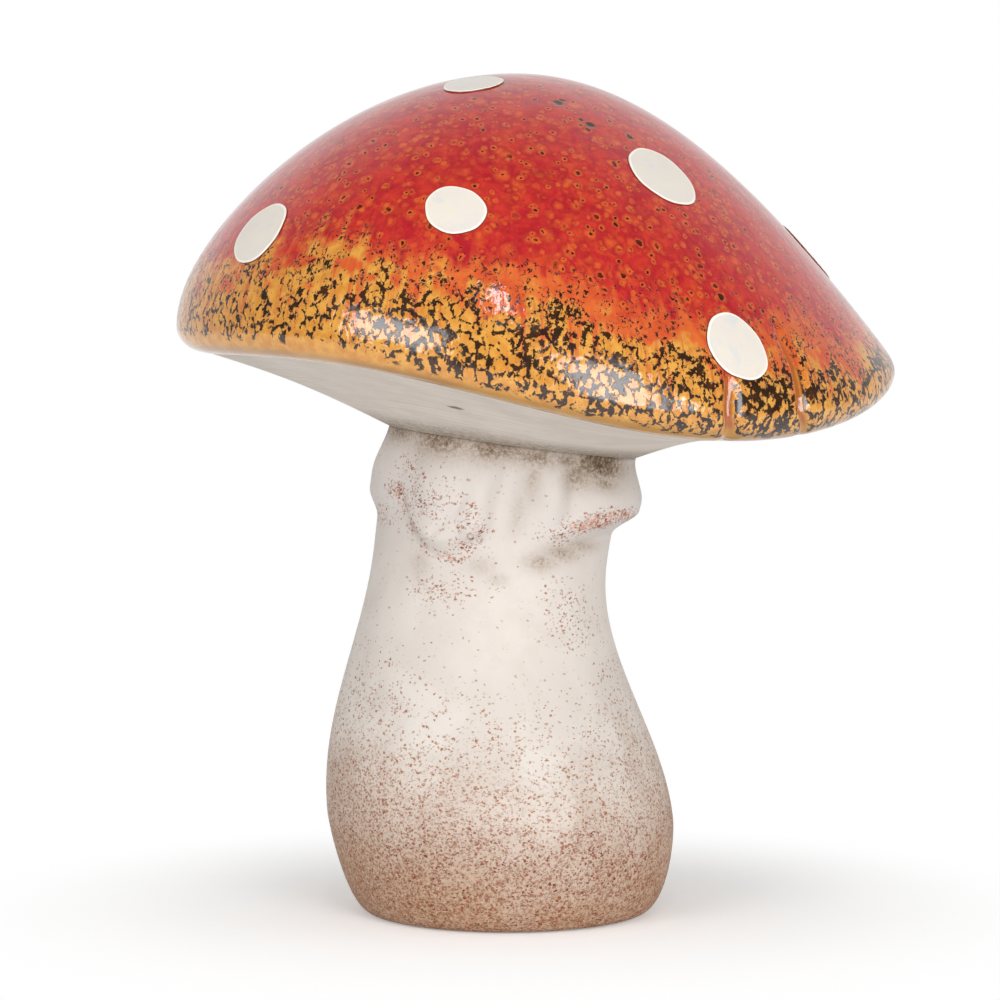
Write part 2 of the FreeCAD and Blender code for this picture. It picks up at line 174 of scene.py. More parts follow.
def rim_ring_point(inset, rise, around):
    """Point inside the rim: inset from the roll's end, rise above the rim's lower edge."""
    radius = cap_reach(around) - ROLL_WIDTH - inset
    height = rim_lower_edge(around) + rise
    return Vector((CAP_OFFSET + radius * cos(around), radius * sin(around), height))


def hollow_point(down, around):
    """Point on the dome's inner face, from over the ledge up to the crown."""
    ledge = rim_lower_edge(around) + PLATE_WALL + SEAM_GAP
    out = sin(down * pi / 2)
    radius = (cap_reach(around) - ROLL_WIDTH - LEDGE_WIDTH) * out
    height = dome_height(around, down, CROWN_HEIGHT - CAP_WALL, ledge)
    middle = CROWN_OFFSET + (CAP_OFFSET - CROWN_OFFSET) * out
    return Vector((middle + radius * cos(around), radius * sin(around), height))


def neck_circle_point(radius, lift, around):
    """Point of a circle round the neck's middle, in its tilted plane."""
    x = NECK_OFFSET + radius * cos(around)
    height = NECK_HEIGHT + lift - tan(NECK_TILT) * (x - NECK_OFFSET)
    return Vector((x, radius * sin(around), height))


def stem_radius(height):
    """Radius of the plain stem at a height: rounded foot, belly, waist and neck."""
    if height < BELLY_HEIGHT:
        short = (1 - height / BELLY_HEIGHT) ** FOOT_POWER
        return BELLY_RADIUS - (BELLY_RADIUS - FOOT_RADIUS) * (1 - sqrt(max(1 - short, 0)))
    if height < WAIST_HEIGHT:
        rise = (height - BELLY_HEIGHT) / (WAIST_HEIGHT - BELLY_HEIGHT)
        return WAIST_RADIUS + (BELLY_RADIUS - WAIST_RADIUS) * cos(rise * pi / 2) ** 2
    rise = (height - WAIST_HEIGHT) / (NECK_HEIGHT - WAIST_HEIGHT)
    return WAIST_RADIUS + (NECK_RADIUS - WAIST_RADIUS) * soft_step(rise)


def collar_relief(up, around):
    """How far the draped collar stands off the stem, up running from foot to neck."""
    relief = 0
    for direction, half, depth, hem, sides, slant, soft in LOBES:
        across = turn_between(around, radians(direction)) / radians(half)
        if abs(across) < 1:
            lower = hem + sides * across**2 + slant * across
            crown = cos(across * pi / 2) ** LOBE_POWER
            relief += depth * crown * soft_step((up - lower) / soft)
    thin = soft_step((up - COLLAR_TOP) / (1 - COLLAR_TOP))
    return COLLAR_DEPTH * relief * (1 - (1 - COLLAR_NECK) * thin)


def pleat_relief(up, around):
    """How far the finer folds are pressed in or stand off at a place on the collar."""
    relief = 0
    for top_turn, top, foot_turn, foot, width, depth in PLEATS:
        share = (top - up) / (top - foot)
        if -PLEAT_OVERRUN < share < 1 + PLEAT_OVERRUN:
            line = radians(top_turn + (foot_turn - top_turn) * share)
            across = turn_between(around, line) * (NECK_RADIUS + COLLAR_DEPTH / 2)
            start = soft_step((share + PLEAT_OVERRUN) / PLEAT_FADE)
            end = soft_step((1 + PLEAT_OVERRUN - share) / PLEAT_FADE)
            relief -= depth * start * end * exp(-((across / width) ** 2))
    return relief


def stem_point(up, around):
    """Point on a level ring of the stem: up 0 at the foot, 1 in the neck's tilted plane."""
    radius = stem_radius(up * NECK_HEIGHT) + collar_relief(up, around)
    if PLEATS_FROM < up < PLEATS_TO:
        radius += pleat_relief(up, around)
    middle = NECK_OFFSET * up + FOOT_OFFSET * (1 - up) - STEM_BOW * sin(pi * up**BOW_POWER)
    x = middle + radius * cos(around)
    height = NECK_HEIGHT - tan(NECK_TILT) * (x - NECK_OFFSET)
    return Vector((x, radius * sin(around), up * height))


def between(first, last, count):
    """Evenly spaced values from first to last, both among them."""
    return [first + (last - first) * step / count for step in range(count + 1)]


# Meshes of the pieces

SIDES = 480
ROWS = 2
DOME_ROWS, ROLL_ROWS, HOLLOW_ROWS, PLATE_ROWS = 60 * ROWS, 10 * ROWS, 12, 36 * ROWS
FOOT_ROWS, BODY_ROWS, COLLAR_ROWS = 8, 40 * ROWS, 50 * ROWS
PLATE_SIDES, STEM_SIDES, SPOT_SIDES = SIDES // 2, 3 * SIDES // 4, 48 * ROWS
# Share of the even step between points that is left at the folds.
CROWDING = 0.34
# A fold shallower than this is left out, and points nearer than the gap, in metres, merge.
SHALLOWEST, MERGE_GAP = 0.01, 1e-7
# Mark of the faces inside the cap, past the 2 of the roll's end.
INSIDE = 2.2


def moulded(name, places, sides, marks, closed=False, gather=None):
    """Piece made of a grid rolled into rings, one for each place, each point moved to its place.

    The rings run from pole to pole, or closed runs from the last back to the first.
    marks(row, around) gives values kept on the points for the surface's colours.
    """
    rows = places + places[:1] if closed else places
    bm = bmesh.new()
    bmesh.ops.create_grid(bm, x_segments=sides, y_segments=len(rows) - 1, size=1)
    layers = {}
    for key, value in marks(0, 0).items():
        kinds = bm.verts.layers.float_vector if len(value) == 3 else bm.verts.layers.float
        layers[key] = kinds.new(key)
    for vert in bm.verts:
        row = round((vert.co.y + 1) / 2 * (len(rows) - 1)) % len(places)
        around = vert.co.x * pi
        if gather:
            around = gather(around)
        vert.co = rows[row](around) * MM
        for key, value in marks(row, around).items():
            vert[layers[key]] = value if len(value) == 3 else value[0]
    bmesh.ops.remove_doubles(bm, verts=bm.verts, dist=MERGE_GAP)
    bmesh.ops.recalc_face_normals(bm, faces=bm.faces)
    mesh = bpy.data.meshes.new(name)
    bm.to_mesh(mesh)
    bm.free()
    mesh.polygons.foreach_set("use_smooth", [True] * len(mesh.polygons))
    piece = bpy.data.objects.new(name, mesh)
    bpy.context.scene.collection.objects.link(piece)
    return piece


def fold_turns(down, around):
    """Directions of the folds that reach this far up the dome, each with its strength."""
    found = []
    if abs(turn_between(around, FOLD_MIDDLE)) > FOLD_SPREAD:
        return found
    for path in FOLDS:
        for (low, first), (high, last) in zip(path, path[1:]):
            if high <= down <= low:
                share = (low - down) / (low - high)
                start = soft_step((down - path[-1][0]) / FOLD_FADE)
                found.append((radians(first + (last - first) * share), start))
    return found


def fold_depth(down, around):
    """How deep the rim is folded in at a place: steep on the left, gentle on the right."""
    deepest = 0
    for direction, strength in fold_turns(min(down, 2), around):
        across = turn_between(around, direction) * CAP_RADIUS
        width = FOLD_STEEP if across < 0 else FOLD_GENTLE
        deepest = max(deepest, FOLD_DEPTH * strength * exp(-((across / width) ** 2)))
    return deepest * (1 - EASE_SHARE * soft_step((down - EASE_FROM) / EASE_OVER))


def fold_line(down, around):
    """1 on a fold's line and 0 well beside it."""
    closest = 0
    for direction, strength in fold_turns(min(down, 2), around):
        across = turn_between(around, direction) * CAP_RADIUS
        closest = max(closest, strength * exp(-((across / FOLD_LINE) ** 2)))
    return closest


def near_folds(around):
    """Brings the points closer together at the folds."""
    turn = turn_between(around, FOLD_MIDDLE)
    return FOLD_MIDDLE + turn * (CROWDING + (1 - CROWDING) * abs(turn) / pi)


def outer_place(down):
    """Place on the folded outer face of the dome."""
    def place(around):
        point = cap_point(down, around)
        depth = fold_depth(down, around) if down > FOLD_HIGHEST else 0
        if depth > SHALLOWEST:
            point -= cap_outward(down, around) * depth
        return point
    return place


dome_downs = between(0, 1, DOME_ROWS) + between(1, 2, ROLL_ROWS)[1:]
dome_places = [outer_place(down) for down in dome_downs]
dome_places.append(lambda around: rim_ring_point(0, PLATE_WALL + SEAM_GAP, around))
inner_downs = between(1, 0, HOLLOW_ROWS)
dome_places += [lambda around, down=down: hollow_point(down, around) for down in inner_downs]


def dome_marks(row, around):
    down = dome_downs[row] if row < len(dome_downs) else INSIDE
    return {
        "lie": (cos(around), sin(around), down),
        "fold": (fold_line(down, around) if down > FOLD_HIGHEST else 0,),
    }


cap = moulded("cap_skin", dome_places, SIDES, dome_marks, gather=near_folds)


def cone_place(share, lift, gap):
    """Place on the plate between the neck and the rim."""
    def place(around):
        inner = neck_circle_point(NECK_RADIUS + SEAT_MARGIN, lift, around)
        outer = rim_ring_point(gap, lift, around)
        return inner + (outer - inner) * share + Vector((0, 0, PLATE_HOLLOW * sin(pi * share)))
    return place


hole = SPIGOT_RADIUS + SPIGOT_GAP
plate_rows = [(0, lambda around: neck_circle_point(hole, 0, around))]
plate_shares = between(0, PLATE_EDGE_SHARE, PLATE_ROWS)
plate_rows += [(share, cone_place(share, 0, SEAM_GAP)) for share in plate_shares]
plate_rows.append((1, lambda around: rim_ring_point(SEAM_GAP, PLATE_EDGE_RISE, around)))
plate_rows.append((1, lambda around: rim_ring_point(SEAM_GAP, PLATE_WALL, around)))
plate_rows.append((1, cone_place(1, PLATE_WALL, SEAM_GAP + LEDGE_WIDTH)))
plate_rows.append((0, cone_place(0, PLATE_WALL, SEAM_GAP + LEDGE_WIDTH)))
plate_rows.append((0, lambda around: neck_circle_point(hole, PLATE_WALL, around)))
underside = moulded(
    "underside_skin", [place for _, place in plate_rows], PLATE_SIDES,
    lambda row, around: {"lie": (cos(around), sin(around), plate_rows[row][0])}, closed=True,
)

# Patches on the stem, of sprayed rust and of smudge with painted shade: height share, direction,
# half height, half turn, strength.
RUST = (
    (0.875, -146, 0.020, 7, 1.00),
    (0.850, -139, 0.020, 7, 1.00),
    (0.810, -130, 0.022, 6, 0.90),
    (0.775, -123, 0.018, 6, 0.80),
    (0.757, -111, 0.012, 9, 1.00),
    (0.785, -103, 0.018, 6, 0.75),
    (0.815, -97, 0.030, 5, 0.70),
    (0.870, -124, 0.050, 15, 0.50),
    (0.920, -140, 0.030, 9, 0.45),
    (0.835, -101, 0.040, 6, 0.50),
    (0.876, -32, 0.014, 10, 1.50),
    (0.862, -41, 0.017, 9, 1.60),
    (0.846, -51, 0.018, 8, 1.20),
    (0.822, -60, 0.018, 8, 0.65),
    (0.872, -10, 0.014, 20, 0.90),
    (0.690, -112, 0.040, 14, 0.40),
    (0.660, -45, 0.070, 16, 0.40),
    (0.850, 20, 0.020, 22, 0.90),
    (0.800, 62, 0.025, 22, 0.90),
    (0.835, 108, 0.025, 18, 0.80),
    (0.820, 165, 0.025, 40, 0.90),
)
# Smudges sprayed on, and painted shade under the collar's hems and round the neck under the cap.
SMUDGE_AND_SHADE = (
    (0.995, -155, 0.030, 22, 0.85),
    (0.990, -125, 0.036, 22, 0.90),
    (0.990, -98, 0.032, 20, 0.90),
    (0.985, -78, 0.026, 16, 0.80),
    (0.985, -62, 0.022, 12, 0.75),
    (0.985, -44, 0.036, 18, 1.25),
    (0.955, -56, 0.034, 9, 0.80),
    (0.945, -42, 0.022, 10, 0.70),
    (0.940, -77, 0.050, 4, 0.50),
    (0.860, -80, 0.050, 4, 0.35),
    (0.803, -42, 0.016, 15, 0.60),
    (0.786, -54, 0.019, 12, 0.70),
    (0.765, -65, 0.022, 10, 0.60),
    (0.745, -94, 0.020, 7, 0.35),
    (0.722, -86, 0.014, 5, 0.35),
    (0.735, -126, 0.030, 6, 0.35),
    (0.985, 60, 0.025, 70, 0.85),
    (0.990, 160, 0.022, 60, 0.85),
    (0.770, 95, 0.030, 30, 0.50),
)
# Beyond this many half heights a patch has no strength left.
PATCH_REACH = 2.5


def patches(table, up, around):
    """Strength of the patches of rust, or of smudge and painted shade, at a place."""
    total = 0
    for high, direction, half_height, half_turn, strength in table:
        rise = (up - high) / half_height
        if abs(rise) < PATCH_REACH:
            across = degrees(turn_between(around, radians(direction))) / half_turn
            total = max(total, strength * exp(-(rise**2) - across**2))
    return total


def foot_place(share):
    """Place on the flat foot, from the pouring hole's edge at 0 to the foot's edge at 1."""
    def place(around):
        edge = stem_point(0, around)
        hole_edge = Vector((VENT_RADIUS * cos(around), VENT_OFFSET + VENT_RADIUS * sin(around), 0))
        return hole_edge + (edge - hole_edge) * share
    return place


def vent_place(radius, height):
    """Place on the pouring hole's wall or its dark end."""
    return lambda around: Vector((radius * cos(around), VENT_OFFSET + radius * sin(around), height))


# Rings across the flat foot stop short of its edges by this share of its width.
FOOT_INSET = 0.03
# Height shares of the stem's rings, close together round the edge of the foot.
BODY_FROM, COLLAR_FROM, HIGHEST_RING = 0.060, 0.70, 0.992
foot_ups = [0.0, 0.002, 0.005, 0.009, 0.014, 0.020, 0.028, 0.038, 0.050]
body_ups = between(BODY_FROM, COLLAR_FROM, BODY_ROWS)
body_ups += between(COLLAR_FROM, HIGHEST_RING, COLLAR_ROWS)[1:]
stem_rows = [(0, vent_place(0, STEM_FLOOR)), (0, vent_place(VENT_RADIUS, STEM_FLOOR))]
stem_rows.append((0, vent_place(VENT_RADIUS, VENT_LIP_TOP)))
stem_rows.append((0, vent_place(VENT_RADIUS + VENT_LIP, VENT_LIP_FOOT)))
stem_rows += [(0, foot_place(share)) for share in between(FOOT_INSET, 1 - FOOT_INSET, FOOT_ROWS)]
stem_rows += [(up, lambda around, up=up: stem_point(up, around)) for up in foot_ups + body_ups]
stem_rows.append((1, lambda around: stem_point(1, around)))
stem_rows.append((1, lambda around: neck_circle_point(SPIGOT_RADIUS, 0, around)))
stem_rows.append((1, lambda around: neck_circle_point(SPIGOT_RADIUS, SPIGOT_HEIGHT, around)))
stem_rows.append((1, lambda around: neck_circle_point(0, SPIGOT_HEIGHT, around)))


def stem_marks(row, around):
    up = stem_rows[row][0]
    return {
        "lie": (cos(around), sin(around), up),
        "rust": (patches(RUST, up, around),),
        "smudge": (patches(SMUDGE_AND_SHADE, up, around),),
    }


stem = moulded("stem_skin", [place for _, place in stem_rows], STEM_SIDES, stem_marks)


def spot_place(number, share, lift):
    """Place on an enamel spot: share of its outline, lift off the glaze."""
    down, direction, slope_share, side_share, turn = SPOTS[number - 1]
    around = radians(direction)
    nudge = 0.04
    down_scale = (cap_point(down + nudge, around) - cap_point(down, around)).length / nudge

    def place(angle):
        waver = 1 + SPOT_WAVER * cos(3 * angle + number) + SPOT_RIPPLE * cos(7 * angle - 2 * number)
        along = SPOT_RADIUS * slope_share * share * waver * cos(angle)
        beside = SPOT_RADIUS * side_share * share * waver * sin(angle)
        tilt = radians(turn)
        lower = down + (along * cos(tilt) - beside * sin(tilt)) / down_scale
        reach = CAP_RADIUS * sin(min(lower, 1) * pi / 2)
        sideways = around + (along * sin(tilt) + beside * cos(tilt)) / reach
        return cap_point(lower, sideways) + cap_outward(lower, sideways) * lift
    return place


# Rows of an enamel spot: share of its outline and lift, with a thicker bead round the edge.
SPOT_ROWS = (
    (0, 0.40), (0.2, 0.40), (0.4, 0.40), (0.6, 0.40), (0.8, 0.41), (0.88, 0.43),
    (0.925, 0.49), (0.95, 0.50), (0.972, 0.46), (0.988, 0.34), (0.997, 0.16),
    (1, -0.02), (0.99, -0.15), (0.6, -0.15), (0, -0.15),
)
spots = []
for number in range(1, len(SPOTS) + 1):
    spots.append(moulded(
        f"spot_skin_{number}",
        [spot_place(number, share, lift) for share, lift in SPOT_ROWS],
        SPOT_SIDES,
        lambda row, around: {"lie": (cos(around), sin(around), SPOT_ROWS[row][0])},
    ))

# Surfaces of the pieces

# Colours, written as sRGB codes.
# Glaze: the red ground, its halos, holes and pits.
CRIMSON = "b51d27"
SCARLET = "cc3729"
VERMILION = "d04a26"
VEIN = "981724"
HALO = "de5f2d"
HALO_RIM = "9c1722"
HOLE = "241103"
HOLE_RING = "d86c2c"
PIT = "241d14"
PIT_RING = "a3552a"
# Glaze: the orange belt, the ochre, its flecks, the folds and the plain lower edge.
ORANGE_STREAK = "d4552b"
BELT_DEEP = "cf5229"
BELT_LIGHT = "d96c32"
OCHRE_DEEP = "d08a36"
OCHRE_LIGHT = "e0a348"
RED_RUN = "c94c2e"
FLECK_BLACK = "1b0b03"
FLECK_BROWN = "401d08"
FOLD_BROWN = "ac5a28"
EDGE_DEEP = "b17c2e"
EDGE_LIGHT = "c08b3a"
BARE_STRIP = "95724a"
SEAM = "6b4a2c"
# Enamel, with a painted highlight for its raised bead and a painted shadow line round its foot.
CREAM_COOL = "e6ded5"
CREAM_WARM = "e8e0d3"
CREAM_GREYED = "dad9d8"
CREAM_YELLOWED = "ebe0c6"
BEAD_HIGHLIGHT = "faf4e8"
ENAMEL_FOOT_SHADOW = "7a2f24"
# Bisque of the plate.
PLATE_DEEP = "ddd3c9"
PLATE_LIGHT = "e6ddd3"
BRUSH_LINE = "c6bcb1"
NECK_DARKENING = "7a6852"
SCUFF = "5f5244"
# Bisque of the stem.
STEM_DEEP = "d8cfc7"
STEM_LIGHT = "e0d8d0"
COLLAR_SHADE_GREY = "d0c9c5"
BEIGE = "b58b65"
GRAIN_BROWN = "74492b"
GRAIN_PALE = "d4baa4"
RUST_GLOW = "cf7e50"
RUST_DARK = "62260c"
RUST_RED = "a04f22"
RUST_PALE = "a4683f"
SMUDGE_SHADE_BROWN = "9a8064"
SMUDGE_SHADE_DARK = "4d3b28"


def paint(code):
    """Linear colour of a colour written as an sRGB code."""
    parts = [int(code[at:at + 2], 16) / 255 for at in (0, 2, 4)]
    return [p / 12.92 if p <= 0.04045 else ((p + 0.055) / 1.055) ** 2.4 for p in parts] + [1]


class Web:
    """A material's node tree, wired by small calls that return output sockets."""

    def __init__(self, name):
        self.material = bpy.data.materials.new(name)
        self.material.use_nodes = True
        self.nodes = self.material.node_tree.nodes
        self.links = self.material.node_tree.links
        self.nodes.clear()
        self.millimetres = self.scaled(self.add("ShaderNodeTexCoord").outputs["Object"], 1 / MM)

    def add(self, kind, inputs=None, **settings):
        """Adds a node, sets it up, and feeds its inputs with values or sockets."""
        node = self.nodes.new(kind)
        for key, value in settings.items():
            setattr(node, key, value)
        for key, value in (inputs or {}).items():
            if isinstance(value, bpy.types.NodeSocket):
                self.links.new(value, node.inputs[key])
            else:
                node.inputs[key].default_value = value
        return node

    def mark(self, name, output="Fac"):
        return self.add("ShaderNodeAttribute", attribute_name=name).outputs[output]

    def down(self):
        """Third value of the lie mark: how far along the piece's profile."""
        return self.add("ShaderNodeSeparateXYZ", {0: self.mark("lie", "Vector")}).outputs[2]

    def calc(self, operation, first, second=0.0, clamp=False):
        inputs = {0: first, 1: second}
        return self.add("ShaderNodeMath", inputs, operation=operation, use_clamp=clamp).outputs[0]

    def scaled(self, vector, scale):
        inputs = {0: vector, 1: scale if isinstance(scale, tuple) else (scale,) * 3}
        return self.add("ShaderNodeVectorMath", inputs, operation="MULTIPLY").outputs[0]

    def shifted(self, vector, offset):
        return self.add("ShaderNodeVectorMath", {0: vector, 1: offset}, operation="ADD").outputs[0]

    def noise(self, vector, scale, detail=2.0, rough=0.5, distortion=0.0, output="Fac"):
        inputs = {"Vector": vector, "Scale": scale, "Detail": detail}
        inputs.update({"Roughness": rough, "Distortion": distortion})
        return self.add("ShaderNodeTexNoise", inputs).outputs[output]

    def apart(self, vector, point):
        """Distance of the vector from a fixed point."""
        inputs = {0: vector, 1: tuple(point)}
        return self.add("ShaderNodeVectorMath", inputs, operation="DISTANCE").outputs["Value"]

    def jittered(self, vector, scale, reach):
        """The vector pushed about by noise, by up to about half of reach."""
        push = self.shifted(self.noise(vector, scale, 2, 0.6, output="Color"), (-0.5, -0.5, -0.5))
        return self.shifted(vector, self.scaled(push, reach))

    def cells(self, vector, scale, feature="F1"):
        """Voronoi cells: distance in the vector's own units, and each cell's random values."""
        node = self.add("ShaderNodeTexVoronoi", {"Vector": vector, "Scale": scale}, feature=feature)
        distance = self.calc("DIVIDE", node.outputs["Distance"], scale)
        if feature != "F1":
            return distance, None
        return distance, self.add("ShaderNodeSeparateXYZ", {0: node.outputs["Color"]}).outputs

    def band(self, value, start, end, low=0.0, high=1.0):
        """Smooth change from low to high as value goes from start to end, either way round."""
        inputs = {"Value": value, "From Min": start, "From Max": end, "To Min": low, "To Max": high}
        node = self.add("ShaderNodeMapRange", inputs, interpolation_type="SMOOTHSTEP")
        return node.outputs["Result"]

    def mix(self, factor, first, second):
        first, second = (paint(c) if isinstance(c, str) else c for c in (first, second))
        inputs = {0: factor, 6: first, 7: second}
        return self.add("ShaderNodeMix", inputs, data_type="RGBA").outputs[2]

    def product(self, *values):
        total = values[0]
        for value in values[1:]:
            total = self.calc("MULTIPLY", total, value)
        return total

    def most(self, *values):
        total = values[0]
        for value in values[1:]:
            total = self.calc("MAXIMUM", total, value)
        return total

    def relief(self, heights):
        """Bump from pairs of a height socket and its depth in millimetres."""
        total = None
        for height, depth in heights:
            step = self.calc("MULTIPLY", height, depth)
            total = step if total is None else self.calc("ADD", total, step)
        inputs = {"Strength": 1.0, "Distance": MM, "Height": total}
        return self.add("ShaderNodeBump", inputs).outputs[0]

    def finish(self, colour, roughness, normal, **others):
        inputs = {"Base Color": colour, "Roughness": roughness, "Normal": normal}
        inputs.update({key.replace("_", " "): value for key, value in others.items()})
        shader = self.add("ShaderNodeBsdfPrincipled", inputs)
        output = self.add("ShaderNodeOutputMaterial")
        self.links.new(shader.outputs[0], output.inputs[0])
        return self.material


# Larger black pits near the crown: how far down, direction, radius.
PITS = (
    (0.250, -76.6, 1.9),
    (0.236, -74.0, 1.1),
    (0.313, -68.9, 1.6),
    (0.300, -71.5, 0.9),
    (0.330, -56.0, 1.3),
)

# Pinholes in three sizes: cells to a millimetre, shift of the cells, halo radius, hole radius.
PINHOLES = (
    (0.17, 0.0, 2.9, 0.85),
    (0.25, 19.0, 2.0, 0.60),
    (0.34, 53.0, 1.4, 0.42),
)
# Height is drawn together by this much in the patterns, which makes their cells a little tall.
FLATTENED = 0.8


def pinholed_red(web, flat):
    """Red ground with darker clouds, orange halos round pinholes, and pits near the crown.

    Gives its colour, and how deep in a pit a place is.
    """
    place = web.millimetres
    cloud = web.noise(place, 0.13, 4, 0.62, 0.8)
    vein = web.noise(place, 0.42, 4, 0.65, 1.2)
    red = web.mix(web.band(cloud, 0.36, 0.62), CRIMSON, SCARLET)
    red = web.mix(web.band(web.noise(place, 0.24, 4, 0.65), 0.48, 0.68), red, VERMILION)
    wobbly = web.jittered(web.jittered(flat, 0.45, 1.8), 1.4, 0.5)
    pits = 0.0
    for scale, offset, wide, bored in PINHOLES:
        far, chance = web.cells(web.shifted(wobbly, (offset, offset, 0.0)), scale)
        share = web.calc("DIVIDE", far, web.band(chance[1], 0.0, 1.0, 0.55 * wide, wide))
        kept = web.band(chance[0], 0.1, 0.3)
        rim = web.product(web.band(share, 1.5, 1.0), web.band(share, 0.5, 0.95), kept)
        red = web.mix(web.calc("MULTIPLY", rim, 0.35), red, HALO_RIM)
        red = web.mix(web.product(web.band(share, 1.05, 0.25), kept, 0.70), red, HALO)
        bore = web.band(chance[2], 0.0, 1.0, 0.22, bored)
        beyond = web.calc("SUBTRACT", far, bore)
        dotted = web.product(web.band(chance[2], 0.12, 0.2), kept)
        red = web.mix(web.product(web.band(beyond, 0.80, 0.1), dotted, 0.55), red, HOLE_RING)
        hole = web.product(web.band(beyond, 0.20, -0.02), dotted)
        red = web.mix(web.calc("MULTIPLY", hole, 0.95), red, HOLE)
    red = web.mix(web.band(vein, 0.42, 0.32, 0.0, 0.40), red, VEIN)
    for down_pit, direction, width in PITS:
        centre = cap_point(down_pit, radians(direction))
        away = web.apart(wobbly, (centre.x, centre.y, centre.z * FLATTENED))
        red = web.mix(web.band(away, width * 1.6, width * 0.8, 0.0, 0.6), red, PIT_RING)
        pit = web.band(away, width, width * 0.6)
        red = web.mix(pit, red, PIT)
        pits = web.calc("MAXIMUM", pits, pit)
    return red, pits


def rim_flecks(web, flat, down, level, reach, across):
    """Black flecks between pebbles of ochre, small and ragged, thinning out upwards.

    Gives the flecks, how thickly they lie, and the distance to the pebbles' edges.
    """
    ragged = web.jittered(web.jittered(flat, 0.45, 1.8), 1.5, 0.7)
    gap, _ = web.cells(ragged, 0.36, "DISTANCE_TO_EDGE")
    patch = web.noise(flat, 0.16, 3, 0.6, 0.5)
    limit = web.band(across, -70.0, 60.0, 1.16, 1.66)
    limit = web.calc("ADD", limit, web.band(patch, 0.3, 0.7, -0.12, 0.12))
    above = web.band(web.calc("SUBTRACT", limit, down), -0.06, 0.10)
    amount = web.product(web.band(reach, 0.66, 0.84), above)
    thick = web.band(web.apart(web.millimetres, cap_point(1.1, FOLD_MIDDLE)), 20.0, 8.0, 0.0, 0.045)
    grit = web.noise(ragged, 0.62, 4, 0.62)
    edges = web.band(gap, 0.72, 0.0, 0.0, 0.170)
    edges = web.product(edges, web.band(level, 0.74, 0.88, 0.45, 1.0))
    swarm = web.band(patch, 0.34, 0.66, -0.075, 0.055)
    swarm = web.calc("ADD", swarm, web.band(across, -50.0, -10.0, -0.014, 0.008))
    field = web.calc("ADD", web.calc("ADD", grit, edges), web.calc("ADD", swarm, thick))
    bar = web.calc("SUBTRACT", 0.802, web.calc("MULTIPLY", amount, 0.195))
    fleck = web.product(web.band(web.calc("SUBTRACT", field, bar), -0.010, 0.014), above)
    chips = web.noise(web.shifted(ragged, (9.0, 40.0, 3.0)), 1.05, 3, 0.62)
    upper = web.product(web.band(level, 0.58, 0.72), web.band(reach, 0.92, 0.80, 0.45, 1.0))
    chip_amount = web.product(upper, above, web.band(patch, 0.28, 0.50))
    chip_bar = web.calc("SUBTRACT", 0.80, web.calc("MULTIPLY", chip_amount, 0.226))
    chip = web.product(web.band(web.calc("SUBTRACT", chips, chip_bar), -0.012, 0.015), above)
    return web.most(fleck, chip), amount, gap


